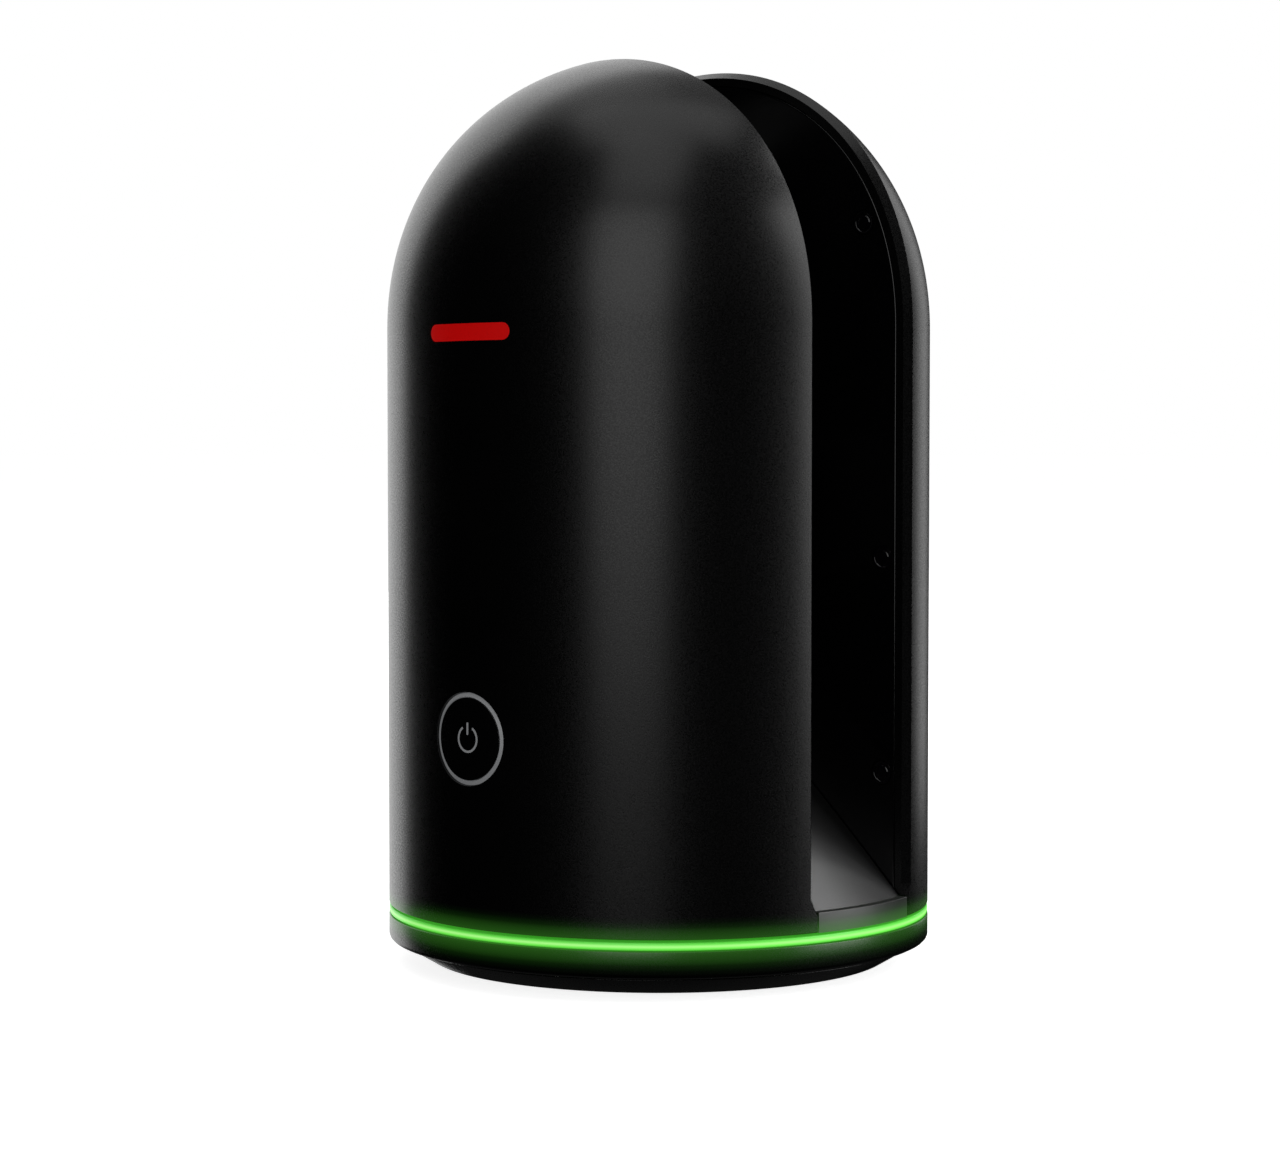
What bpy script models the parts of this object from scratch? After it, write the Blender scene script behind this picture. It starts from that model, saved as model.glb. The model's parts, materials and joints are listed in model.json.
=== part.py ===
"""A compact terrestrial laser scanner: a domed two-shell head that turns on a round base.

The object stands on the XY plane with the turning axis on Z. The scanning slot runs along X
between the front shell (towards -Y, with the power button) and the rear shell (towards +Y,
with the battery door). A mirror rotor spins in the slot about an axis along Y.
Sizes below are in millimetres and are turned into metres where a mesh is made.
"""

import math

import bmesh
import bpy
from mathutils import Matrix

MM = 0.001
GAP = 0.3  # space between two pieces that touch on the real object

# Driving dimensions of the outside
BODY_R = 50.0
HEIGHT = 165.0
SLOT_HALF = 12.85  # half of the slot's width
DOME_BASE_Z = 116.0
DOME_FULLNESS = 2.08  # 2 would be a sphere, a little more is a slightly fuller dome
LIGHT_Z = 9.7  # middle of the light ring
LIGHT_THICK = 1.4
WALL = 2.8

# Places of the parts in and on the head
SHELL_BOTTOM_Z = 10.8
SLOT_LIP_Z = 14.35  # the slot's floor starts here, at the outer surface
BUTTON_Z = 44.0
MIRROR_Z = 84.0
CAMERA_PLACES = ((37.75, 135.0), (42.25, 74.9), (42.25, 36.2))  # x, z on the rear panel

# The bevelled rim of each shell along the slot
BEVEL_DEPTH = 1.45
BEVEL_INSET = 1.45
BEVEL_START_Z = 13.8
BEVEL_FULL_Z = 16.6
PANEL_INSET = 3.05
PANEL_THICK = 2.0

# The azimuth drive: a pinion in the head rolls round a gear fixed in the base
GEAR_TEETH = 60
PINION_TEETH = 10
GEAR_MODULE = 0.8
GEAR_LOW_Z = 9.2
GEAR_HIGH_Z = 10.3

# The battery door in the rear shell
DOOR_HALF_WIDTH = 21.6
DOOR_LOW_Z = 17.6
DOOR_HIGH_Z = 70.0
HINGE_Y = 48.0
HINGE_Z = 15.9
KNUCKLE_R = 1.4
KNUCKLE_HALF = 8.0
HINGE_GAP = 0.7  # room below the door, so that its lower edge can swing out

ROUND = 60  # segments of the large round pieces
MEDIUM_ROUND = 40
SMALL_ROUND = 26
DOME_STEPS = 12

SLOT_EDGE_X = math.sqrt(BODY_R**2 - SLOT_HALF**2)
DOME_RISE = (HEIGHT - DOME_BASE_Z) / (
    (1 - (SLOT_HALF / BODY_R) ** DOME_FULLNESS) ** (1 / DOME_FULLNESS)
)
GEAR_R = GEAR_MODULE * GEAR_TEETH / 2
PINION_R = GEAR_MODULE * PINION_TEETH / 2
PINION_Y = -(GEAR_R + PINION_R)

# Colour, roughness, metallic
FINISHES = {
    "black_metal": ((0.012, 0.012, 0.013), 0.42, 0.6),
    "gloss_black": ((0.004, 0.004, 0.004), 0.08, 0.0),
    "black_plastic": ((0.02, 0.02, 0.02), 0.5, 0.0),
    "grey_metal": ((0.22, 0.22, 0.23), 0.4, 0.9),
    "steel": ((0.55, 0.55, 0.56), 0.3, 1.0),
    "brass": ((0.7, 0.5, 0.22), 0.35, 1.0),
    "rubber": ((0.02, 0.02, 0.02), 0.85, 0.0),
    "board": ((0.02, 0.12, 0.06), 0.5, 0.0),
    "glass": ((0.05, 0.06, 0.09), 0.05, 0.0),
    "mirror": ((0.8, 0.8, 0.82), 0.03, 1.0),
    "light": ((0.35, 0.95, 0.25), 0.4, 0.0),
    "ring_light": ((0.35, 0.36, 0.37), 0.4, 0.0),
    "battery": ((0.05, 0.05, 0.055), 0.5, 0.0),
}


def clear_scene():
    for old in list(bpy.data.objects):
        bpy.data.objects.remove(old, do_unlink=True)


def make_materials():
    made = {}
    for name, (colour, roughness, metallic) in FINISHES.items():
        material = bpy.data.materials.new(name)
        material.use_nodes = True
        shader = material.node_tree.nodes["Principled BSDF"]
        shader.inputs["Base Color"].default_value = (*colour, 1)
        shader.inputs["Roughness"].default_value = roughness
        shader.inputs["Metallic"].default_value = metallic
        made[name] = material
    return made


def as_object(name, bm, finish):
    """Makes an object from a bmesh in millimetres; a cutter is one with no finish."""
    bmesh.ops.scale(bm, vec=(MM, MM, MM), verts=bm.verts)
    bmesh.ops.recalc_face_normals(bm, faces=bm.faces)
    mesh = bpy.data.meshes.new(name)
    bm.to_mesh(mesh)
    bm.free()
    mesh.shade_smooth()
    mesh.set_sharp_from_angle(angle=math.radians(30))
    made = bpy.data.objects.new(name, mesh)
    bpy.context.scene.collection.objects.link(made)
    if finish:
        mesh.materials.append(MATERIALS[finish])
    else:
        made.hide_render = True
        made.display_type = "WIRE"
    return made


def place(made, at, along):
    """Puts a turned piece at a point, with its own Z along world X, Y or Z."""
    made.location = [MM * value for value in at]
    if along == "Y":
        made.rotation_euler = (-math.pi / 2, 0, 0)
    elif along == "X":
        made.rotation_euler = (0, math.pi / 2, 0)
    return made


def turned(name, outline, finish=None, at=(0, 0, 0), along="Z", segments=SMALL_ROUND):
    """Spins a closed outline of (radius, height) points about its own Z."""
    bm = bmesh.new()
    points = [bm.verts.new((radius, 0, height)) for radius, height in outline]
    edges = [bm.edges.new(pair) for pair in zip(points, points[1:] + points[:1])]
    bmesh.ops.spin(
        bm,
        geom=points + edges,
        axis=(0, 0, 1),
        angle=2 * math.pi,
        steps=segments,
        use_merge=True,
    )
    bmesh.ops.remove_doubles(bm, verts=bm.verts, dist=1e-4)
    return place(as_object(name, bm, finish), at, along)


def ring(name, inner, outer, low, high, finish=None, **where):
    outline = [(inner, low), (outer, low), (outer, high), (inner, high)]
    return turned(name, outline, finish, **where)


def rod(name, radius, low, high, finish=None, **where):
    return ring(name, 0, radius, low, high, finish, **where)


def prism(name, outline, low, high, finish=None, along="Z"):
    """Extrudes an outline along Z (points x, y), along Y (points x, z) or along X (y, z)."""
    corners = {
        "Z": lambda a, b: (a, b, low),
        "Y": lambda a, b: (a, low, b),
        "X": lambda a, b: (low, a, b),
    }[along]
    step = Matrix.Identity(3)["XYZ".index(along)] * (high - low)
    bm = bmesh.new()
    face = bm.faces.new([bm.verts.new(corners(a, b)) for a, b in outline])
    grown = bmesh.ops.extrude_face_region(bm, geom=[face])["geom"]
    new_corners = [item for item in grown if isinstance(item, bmesh.types.BMVert)]
    bmesh.ops.translate(bm, vec=step, verts=new_corners)
    return as_object(name, bm, finish)


def block(name, low, high, finish=None, bevel=0.0):
    """A box between two corners, with its edges bevelled by the given width."""
    bm = bmesh.new()
    bmesh.ops.create_cube(bm, size=1)
    size = [b - a for a, b in zip(low, high)]
    middle = [(a + b) / 2 for a, b in zip(low, high)]
    bmesh.ops.scale(bm, vec=size, verts=bm.verts)
    bmesh.ops.translate(bm, vec=middle, verts=bm.verts)
    if bevel:
        bmesh.ops.bevel(bm, geom=bm.edges[:], offset=bevel, segments=1, affect="EDGES")
    return as_object(name, bm, finish)


def combine(made, other, operation):
    modifier = made.modifiers.new(operation.lower(), "BOOLEAN")
    modifier.operation = operation
    modifier.object = other


def cut(made, *cutters):
    for cutter in cutters:
        combine(made, cutter, "DIFFERENCE")


def rounded_box(half_width, low, high, radius, steps=4):
    """An upright rectangle about x = 0 with round corners, as (x, z) points."""
    corners = (
        (half_width - radius, high - radius, 0),
        (radius - half_width, high - radius, 90),
        (radius - half_width, low + radius, 180),
        (half_width - radius, low + radius, 270),
    )
    points = []
    for x, z, start in corners:
        for i in range(steps + 1):
            angle = math.radians(start + 90 * i / steps)
            points.append((x + radius * math.cos(angle), z + radius * math.sin(angle)))
    return points


def body_outline(inset, bottom, steps=DOME_STEPS):
    """Half outline of the domed body, drawn in by inset, as (radius, height) points."""
    power = 2 / DOME_FULLNESS
    points = [(0, bottom), (BODY_R - inset, bottom)]
    for i in range(steps):
        angle = math.pi / 2 * i / steps
        radius = (BODY_R - inset) * math.cos(angle) ** power
        height = (DOME_RISE - inset) * math.sin(angle) ** power
        points.append((radius, DOME_BASE_Z + height))
    points.append((0, DOME_BASE_Z + DOME_RISE - inset))
    return points


def slot_edge(angle):
    """A point of the body's outline in the slot's plane, and the outline's normal there."""
    x = SLOT_EDGE_X * math.cos(angle)
    radius = math.hypot(x, SLOT_HALF)
    share = max(0.0, 1 - (radius / BODY_R) ** DOME_FULLNESS)
    height = DOME_RISE * share ** (1 / DOME_FULLNESS)
    across = (radius / BODY_R) ** (DOME_FULLNESS - 1) / BODY_R * x / radius
    up = (height / DOME_RISE) ** (DOME_FULLNESS - 1) / DOME_RISE
    length = math.hypot(across, up)
    return x, DOME_BASE_Z + height, across / length, up / length


def over_the_top(right_side):
    """Adds the mirrored left side to stations that run up the right side to x = 0."""
    left_side = [(-x, z, -nx, nz, *more) for x, z, nx, nz, *more in right_side[-2::-1]]
    return right_side + left_side


def dome_angles():
    return [math.pi / 2 * i / (2 * DOME_STEPS) for i in range(2 * DOME_STEPS + 1)]


def slot_outline(inset, bottom):
    """The body's outline in the slot's plane, drawn in by inset, as (x, z) points."""
    right_side = [(SLOT_EDGE_X, bottom, 1, 0)]
    right_side += [slot_edge(angle) for angle in dome_angles()]
    return [(x - inset * nx, z - inset * nz) for x, z, nx, nz in over_the_top(right_side)]


def rim_cutter(name, side):
    """The wedge that bevels a shell's rim, fading out at both lower ends."""
    fade = 0.05
    right_side = [(SLOT_EDGE_X, BEVEL_START_Z, 1, 0, fade), (SLOT_EDGE_X, BEVEL_FULL_Z, 1, 0, 1)]
    right_side += [(*slot_edge(angle), 1) for angle in dome_angles()]
    outer_inset = SLOT_EDGE_X - math.sqrt(BODY_R**2 - (SLOT_HALF + BEVEL_DEPTH) ** 2)
    run = BEVEL_INSET - outer_inset
    section = (
        (BEVEL_INSET + 0.3 * run, -0.3 * BEVEL_DEPTH),
        (outer_inset - 0.6 * run, 1.6 * BEVEL_DEPTH),
        (-2.0, -0.3 * BEVEL_DEPTH),
    )
    bm = bmesh.new()
    rings = []
    for x, z, nx, nz, share in over_the_top(right_side):
        corners = []
        for inset, depth in section:
            inset, depth = inset * share, depth * share
            y = side * (SLOT_HALF + depth)
            corners.append(bm.verts.new((x - inset * nx, y, z - inset * nz)))
        rings.append(corners)
    for first, second in zip(rings, rings[1:]):
        for i in range(3):
            j = (i + 1) % 3
            bm.faces.new((first[i], first[j], second[j], second[i]))
    bm.faces.new(rings[0])
    bm.faces.new(rings[-1][::-1])
    return as_object(name, bm, None)


def gear_outline(teeth, turn=0.0):
    """A plain gear profile with backlash, as (x, y) points."""
    pitch_r = GEAR_MODULE * teeth / 2
    root_r = pitch_r - 1.25 * GEAR_MODULE
    tip_r = pitch_r + 0.85 * GEAR_MODULE
    pitch_angle = 2 * math.pi / teeth
    shape = ((-0.31, root_r), (-0.11, tip_r), (0.11, tip_r), (0.31, root_r))
    points = []
    for tooth in range(teeth):
        for share, radius in shape:
            angle = turn + (tooth + share) * pitch_angle
            points.append((radius * math.cos(angle), radius * math.sin(angle)))
    return points


def make_base():
    """The fixed foot: covers, light ring, tripod insert and the fixed half of the drive."""
    cover = turned(
        "base_cover",
        [(9.3, 0.4), (30, 0.4), (30, 1.3), (38.4, 1.3), (38.4, 0.4), (42.2, 0.4)]
        + [(47.6, 3.6), (44.0, 3.6), (42.0, 2.4), (9.3, 2.4)],
        "black_metal",
        segments=ROUND,
    )
    ring("foot_pad", 30.3, 38.1, 0, 1.0, "rubber", segments=ROUND)
    seat = [(0, -1), (2.4, -1), (2.4, 1.5), (1.3, 1.5), (1.3, 4), (0, 4)]
    screw = [(0, 0.6), (2.1, 0.6), (2.1, 1.2), (1.0, 1.2), (1.0, 6.4), (0, 6.4)]
    for i in range(3):
        angle = math.radians(90 + 120 * i)
        at = (24 * math.cos(angle), 24 * math.sin(angle), 0)
        cut(cover, turned(f"screw_seat_{i + 1}", seat, at=at, segments=20))
        made = turned(f"base_screw_{i + 1}", screw, "steel", at=at, segments=20)
        cut(made, rod(f"screw_drive_{i + 1}", 0.9, 0, 1.0, at=at, segments=6))

    turned(
        "base_housing",
        [(21, 7.0), (44.6, 7.0), (44.6, 3.9), (47.6, 3.9), (49.3, 4.0)]
        + [(49.8, 4.3), (BODY_R, 4.9), (BODY_R, 8.8), (21, 8.8)],
        "black_metal",
        segments=ROUND,
    )
    low, high = LIGHT_Z - LIGHT_THICK / 2, LIGHT_Z + LIGHT_THICK / 2
    turned(
        "light_ring",
        [(46.0, low), (49.6, low), (49.9, low + 0.3), (49.9, high - 0.3), (49.6, high)]
        + [(46.0, high)],
        "light",
        segments=ROUND,
    )
    ring("led_board", 38.0, 45.7, 9.1, 9.9, "board", segments=MEDIUM_ROUND)
    insert = [(4.9, 0.4), (9.0, 0.4), (9.0, 3.9), (0, 3.9), (0, 3.1), (4.9, 3.1)]
    turned("tripod_insert", insert, "steel", segments=MEDIUM_ROUND)
    ring("slip_ring", 3.0, 9.5, 4.3, 12.5, "grey_metal")
    ring("bearing_outer_race", 17.9, 20.7, 4.9, 8.9, "steel", segments=MEDIUM_ROUND)
    ring("azimuth_encoder_disc", 33.4, 36.6, 9.1, 9.6, "steel", segments=MEDIUM_ROUND)
    gear = prism(
        "azimuth_gear", gear_outline(GEAR_TEETH), GEAR_LOW_Z, GEAR_HIGH_Z, "brass"
    )
    cut(gear, rod("azimuth_gear_bore", 21.2, 8, 12, segments=MEDIUM_ROUND))


def make_turntable():
    """The plate that carries both shells, its bearing race and the azimuth motor."""
    plate = turned(
        "turntable",
        [(9.9, 4.8), (14.2, 4.8), (14.2, 10.8), (46.6, 10.8), (46.6, 13.6), (9.9, 13.6)],
        "grey_metal",
        segments=ROUND,
    )
    pinion_at = (0, PINION_Y, 0)
    cut(plate, rod("pinion_shaft_hole", 1.6, 8, 16, at=pinion_at, segments=16))
    ring("bearing_inner_race", 14.5, 17.3, 4.9, 8.9, "steel", segments=MEDIUM_ROUND)
    block("encoder_reader", (-37, -3, 9.9), (-33, 3, 10.5), "black_plastic")
    motor = rod("azimuth_motor", 6, 13.9, 36, "grey_metal", at=pinion_at)
    cut(motor, rod("azimuth_motor_bore", 1.6, 12, 18, at=pinion_at, segments=16))

    # A gap of the pinion faces the gear's tooth on the line between the two axes.
    outline = gear_outline(PINION_TEETH, turn=math.pi / 2 + math.pi / PINION_TEETH)
    pinion = prism("azimuth_pinion", outline, GEAR_LOW_Z, GEAR_HIGH_Z, "brass")
    place(pinion, pinion_at, "Z")
    shaft = rod("azimuth_pinion_shaft", 1.2, 9.5, 17, at=pinion_at, segments=16)
    combine(pinion, shaft, "UNION")


def make_shell(name, side):
    """One half of the domed shell: hollow, with a bevelled rim and a seat for its panel."""
    shell = turned(name, body_outline(0, SHELL_BOTTOM_Z), "black_metal", segments=ROUND)
    hollow = turned(f"{name}_hollow", body_outline(WALL, 0, 8), segments=MEDIUM_ROUND)
    cut(shell, hollow)
    near, far = sorted((side * SLOT_HALF, side * 2 * BODY_R))
    wide = rounded_box(2 * BODY_R, -10, 2 * HEIGHT, 1, steps=1)
    combine(shell, prism(f"{name}_half", wide, near, far, along="Y"), "INTERSECT")
    cut(shell, rim_cutter(f"{name}_rim", side))
    seat_outline = slot_outline(PANEL_INSET - 0.15, 5)
    near, far = sorted((side * (SLOT_HALF - 1), side * (SLOT_HALF + PANEL_THICK + 0.2)))
    cut(shell, prism(f"{name}_panel_seat", seat_outline, near, far, along="Y"))
    return shell


def make_panel(name, side):
    """The glossy inner wall of the slot, which closes one shell."""
    near, far = sorted((side * SLOT_HALF, side * (SLOT_HALF + PANEL_THICK)))
    outline = slot_outline(PANEL_INSET, 13.9)
    return prism(name, outline, near, far, "gloss_black", along="Y")


def make_frame(name, side, hole_r):
    """The plate behind a panel that the inner parts are fixed to."""
    near, far = sorted((side * 15.15, side * 16.6))
    frame = prism(name, rounded_box(30, 13.9, 138, 8), near, far, "grey_metal", along="Y")
    at = (0, 0, MIRROR_Z)
    low, high = sorted((side * 10, side * 20))
    cut(frame, rod(f"{name}_hole", hole_r, low, high, at=at, along="Y"))
    window = rounded_box(16, 104, 128, 4)
    cut(frame, prism(f"{name}_window", window, low, high, along="Y"))


def make_slot_floor():
    """The ridge between the panels: a slice of a 45 degree cone, with a low lip at its foot."""
    foot, lip = 10.8, SLOT_LIP_Z
    top_r, cone_r, width = 4.5, 48.2, SLOT_HALF - GAP
    top_z = lip + cone_r - top_r
    outline = [(0, foot), (BODY_R, foot), (BODY_R, lip), (cone_r, lip), (top_r, top_z), (0, top_z)]
    floor = turned("slot_floor", outline, "black_metal", segments=ROUND)
    low, high = (-BODY_R - 1, -width, 0), (BODY_R + 1, width, HEIGHT)
    combine(floor, block("slot_floor_slice", low, high), "INTERSECT")
    cut(floor, rod("turntable_room", 46.9, 5, 13.9, segments=ROUND))
    inner = [(0, 10), (45.4, 10), (45.4, 14), (3.4, 56), (0, 56)]
    hollow = turned("slot_floor_hollow", inner, segments=ROUND)
    low, high = (-BODY_R - 1, -10.6, 0), (BODY_R + 1, 10.6, HEIGHT)
    combine(hollow, block("slot_floor_hollow_slice", low, high), "INTERSECT")
    cut(floor, hollow)


def make_front_shell():
    """The front shell with its power button, light and switch."""
    shell = make_shell("front_shell", -1)
    at = (0, 0, BUTTON_Z)
    where = {"at": at, "along": "Y", "segments": MEDIUM_ROUND}
    cut(shell, rod("button_hole", 8.2, -60, -40, **where))
    light = ring("button_light_ring", 7.4, 8.05, -51, -46.3, "ring_light", **where)
    face = rod("button_light_face", BODY_R - 0.05, 20, 70, segments=ROUND)
    combine(light, face, "INTERSECT")

    # The cap's own origin lies on its line of travel, at the outer surface.
    profile = [(0, -1), (7.25, -1), (7.25, 4.1), (8.6, 4.1), (8.6, 5.1), (2, 5.1), (2, 6.4)]
    where["at"] = (0, -BODY_R, BUTTON_Z)
    button = turned("power_button", profile + [(0, 6.4)], "black_metal", **where)
    cap_face = rod("button_cap_face", BODY_R - 0.1, 20, 70, segments=ROUND)
    combine(button, cap_face, "INTERSECT")
    block("button_switch", (-3, -42.7, BUTTON_Z - 3), (3, -40.2, BUTTON_Z + 3), "black_plastic")
    block("button_board", (-9, -39.9, BUTTON_Z - 8), (9, -38.5, BUTTON_Z + 8), "board")


def make_rear_shell():
    """The rear shell with the opening and the hinge pin of its battery door."""
    shell = make_shell("rear_shell", 1)
    opening = rounded_box(
        DOOR_HALF_WIDTH + GAP, DOOR_LOW_Z - HINGE_GAP, DOOR_HIGH_Z + GAP, 3.3
    )
    notch = rounded_box(KNUCKLE_HALF + GAP, HINGE_Z - 2.3, DOOR_LOW_Z + 1, 0.4, steps=1)
    at = (0, HINGE_Y, HINGE_Z)
    cut(
        shell,
        prism("door_opening", opening, 30, 60, along="Y"),
        prism("knuckle_notch", notch, 40, 60, along="Y"),
        rod("hinge_pin_hole", 0.9, -10.2, 10.2, at=at, along="X", segments=12),
    )
    rod("door_hinge_pin", 0.6, -9.8, 9.8, "steel", at=at, along="X", segments=12)


def make_battery_door():
    """The curved door, hinged along its lower edge, and its sprung latch."""
    at = (0, HINGE_Y, HINGE_Z)
    wall = ring(
        "door_wall", BODY_R - WALL, BODY_R, DOOR_LOW_Z - 1, DOOR_HIGH_Z + 1, segments=ROUND
    )
    outline = rounded_box(DOOR_HALF_WIDTH, DOOR_LOW_Z, DOOR_HIGH_Z, 3)
    latch_room = rounded_box(5.2, 60.5, 67.5, 0.8, steps=2)
    knuckle = rod("door_knuckle", KNUCKLE_R, -KNUCKLE_HALF, KNUCKLE_HALF, at=at, along="X")
    web = block("door_web", (-KNUCKLE_HALF, 47.4, HINGE_Z), (KNUCKLE_HALF, 49.0, DOOR_LOW_Z + 0.6))
    door = prism("battery_door", outline, 35, 60, "black_metal", along="Y")
    move_origin(door, at)
    combine(door, wall, "INTERSECT")
    combine(door, knuckle, "UNION")
    combine(door, web, "UNION")
    cut(
        door,
        rod("knuckle_bore", 0.9, -20, 20, at=at, along="X", segments=12),
        prism("latch_room", latch_room, 30, 60, along="Y"),
    )

    latch_face = rounded_box(4.9, 62.9, 67.2, 0.6, steps=2)
    latch = prism("door_latch", latch_face, 45.8, 60, "black_plastic", along="Y")
    move_origin(latch, (0, BODY_R, 65))
    combine(latch, rod("latch_round", BODY_R - 0.1, 50, 80, segments=ROUND), "INTERSECT")
    flange = block("latch_flange", (-7, 44.6, 61.5), (7, 46.1, 68.6))
    combine(latch, flange, "UNION")


def move_origin(made, at):
    """Puts an object's origin at a point without moving its shape."""
    offset = [MM * value for value in at]
    made.data.transform(Matrix.Translation([-value for value in offset]))
    made.location = offset


def make_mirror_rotor():
    """The mirror on its 45-degree carrier, with the shaft and the encoder disc."""
    at = (0, 0, MIRROR_Z)
    reach = 11.5

    def behind(name, low, high):
        """The slab between two planes parallel to the mirror, which faces +X and -Y."""
        far = 40
        corners = [(low - far, -far), (high - far, -far), (high + far, far), (low + far, far)]
        return prism(name, corners, MIRROR_Z - 30, MIRROR_Z + 30)

    where = {"at": at, "along": "Y", "segments": MEDIUM_ROUND}
    carrier = rod("mirror_carrier", 16, -reach, reach, "grey_metal", **where)
    combine(carrier, behind("carrier_slab", -60, -1.8), "INTERSECT")
    mirror = rod("scan_mirror", 15, -reach, reach, "mirror", **where)
    combine(mirror, behind("mirror_slab", -1.3, 1.2), "INTERSECT")
    rod("mirror_shaft", 3, reach + GAP, 35.5, "steel", at=at, along="Y")
    ring("mirror_encoder_disc", 3.3, 10, 17.1, 17.7, "steel", at=at, along="Y")


def make_mirror_drive():
    """The motor that turns the mirror, with its bearing and bracket."""
    at = (0, 0, MIRROR_Z)
    ring("mirror_bearing", 3.3, 7.5, 13.1, 16.8, "steel", at=at, along="Y")
    ring("mirror_motor", 3.4, 12.5, 18.2, 36, "grey_metal", at=at, along="Y")
    bracket = [(10.3, 16.9), (15.4, 16.9), (15.4, 24), (12.8, 24), (12.8, 17.9), (10.3, 17.9)]
    turned("motor_bracket", bracket, "grey_metal", at=at, along="Y")


def make_rangefinder():
    """The laser unit in the front half, which looks through a window at the mirror."""
    at = (0, 0, MIRROR_Z)
    rod("laser_window", 11.2, -14.6, -12.95, "glass", at=at, along="Y", segments=MEDIUM_ROUND)
    lens = [(0, -20.4), (11.1, -18.6), (11.1, -17.4), (0, -15.8)]
    turned("receiver_lens", lens, "glass", at=at, along="Y")
    ring("rangefinder_tube", 11.5, 13, -36, -15.2, "grey_metal", at=at, along="Y")
    block("laser_module", (-10, -44, 74), (10, -36.4, 94), "grey_metal", bevel=1)


def make_cameras():
    """Three small cameras behind round windows near the rear panel's edge."""
    for i, (x, z) in enumerate(CAMERA_PLACES):
        at = (x, 0, z)
        number = i + 1
        rod(f"camera_window_{number}", 2.15, 12.95, 13.7, "glass", at=at, along="Y")
        low, high = (x - 6.5, 15.15, z - 3.6), (x + 0.6, 16.4, z + 3.6)
        camera = block(f"camera_module_{number}", low, high, "black_plastic")
        stub = rod(f"camera_barrel_{number}", 1.8, 14.0, 15.6, at=at, along="Y", segments=20)
        combine(camera, stub, "UNION")


def make_electronics():
    """Boards, battery and its tray."""
    blocks = (
        ("main_board", (-30, -18.6, 18), (30, -17, 66), "board", 0),
        ("heat_spreader", (-13, -24, 40), (13, -18.9, 64), "grey_metal", 0.6),
        ("antenna", (-14, -19.8, 118), (14, -19, 134), "brass", 0),
        ("imu_board", (-30, -18.4, 100), (-17, -17, 112), "board", 0),
        ("power_board", (-24, 17.2, 102), (24, 18.8, 136), "board", 0),
        ("battery_pack", (-18.8, 19.6, 17.9), (18.8, 41, 65.8), "battery", 1.5),
    )
    for name, low, high, finish, bevel in blocks:
        block(name, low, high, finish, bevel)
    tray = block("battery_tray", (-20.5, 17.9, 16.3), (20.5, 41.8, 67.4), "black_plastic")
    cut(tray, block("battery_room", (-19.2, 19.2, 17.5), (19.2, 50, 66.2)))


def make_panels():
    """The front panel with the laser window's hole, the rear one with shaft and camera holes."""
    at = (0, 0, MIRROR_Z)
    front = make_panel("front_panel", -1)
    cut(front, rod("laser_window_hole", 11.5, -20, -10, at=at, along="Y", segments=MEDIUM_ROUND))
    rear = make_panel("rear_panel", 1)
    cut(rear, rod("shaft_hole", 7.9, 10, 20, at=at, along="Y"))
    for i, (x, z) in enumerate(CAMERA_PLACES):
        cut(rear, rod(f"camera_hole_{i + 1}", 2.3, 10, 20, at=(x, 0, z), along="Y"))


clear_scene()
MATERIALS = make_materials()
make_base()
make_turntable()
make_slot_floor()
make_front_shell()
make_rear_shell()
make_battery_door()
make_panels()
make_frame("front_frame", -1, 13.4)
make_frame("rear_frame", 1, 8.0)
make_mirror_rotor()
make_mirror_drive()
make_rangefinder()
make_cameras()
make_electronics()
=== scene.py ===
"""The looks of the terrestrial laser scanner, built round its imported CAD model.

Sizes are in millimetres in the CAD frame, and are turned into metres where a mesh is made.
The turning axis is Z, the slot runs along X, the front shell with the power button is
towards -Y and the rear shell with the battery door towards +Y.
"""

import json
import math

import bmesh
import bpy
from mathutils import Matrix, Vector

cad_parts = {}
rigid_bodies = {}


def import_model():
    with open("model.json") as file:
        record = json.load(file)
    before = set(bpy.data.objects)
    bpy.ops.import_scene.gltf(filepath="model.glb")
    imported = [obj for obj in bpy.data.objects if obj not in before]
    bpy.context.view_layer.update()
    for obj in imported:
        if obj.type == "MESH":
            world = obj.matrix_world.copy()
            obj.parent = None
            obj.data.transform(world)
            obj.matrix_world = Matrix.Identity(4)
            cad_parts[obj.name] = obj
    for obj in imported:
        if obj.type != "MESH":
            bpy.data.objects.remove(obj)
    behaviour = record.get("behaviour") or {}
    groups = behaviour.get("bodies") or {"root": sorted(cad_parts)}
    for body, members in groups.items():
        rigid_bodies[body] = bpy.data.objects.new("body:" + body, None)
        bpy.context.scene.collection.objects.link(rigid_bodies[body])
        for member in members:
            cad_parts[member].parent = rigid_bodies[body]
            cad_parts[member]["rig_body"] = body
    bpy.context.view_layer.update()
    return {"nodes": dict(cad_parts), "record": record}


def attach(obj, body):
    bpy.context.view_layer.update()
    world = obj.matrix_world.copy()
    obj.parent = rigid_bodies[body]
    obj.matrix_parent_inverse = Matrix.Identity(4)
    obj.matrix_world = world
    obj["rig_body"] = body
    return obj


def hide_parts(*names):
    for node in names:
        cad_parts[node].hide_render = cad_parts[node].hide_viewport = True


MM = 0.001
GAP = 0.3

# The outside of the body
BODY_R = 50.0
HEIGHT = 165.0
SLOT_HALF = 12.85
DOME_BASE_Z = 116.0
DOME_FULLNESS = 2.08
LIGHT_Z = 9.7
LIGHT_THICK = 1.4
WALL = 2.8
SHELL_BOTTOM_Z = 10.8
SLOT_LIP_Z = 14.35
BUTTON_Z = 44.0
MIRROR_Z = 84.0
CAMERA_PLACES = ((37.75, 135.0), (42.25, 74.9), (42.25, 36.2))

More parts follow.
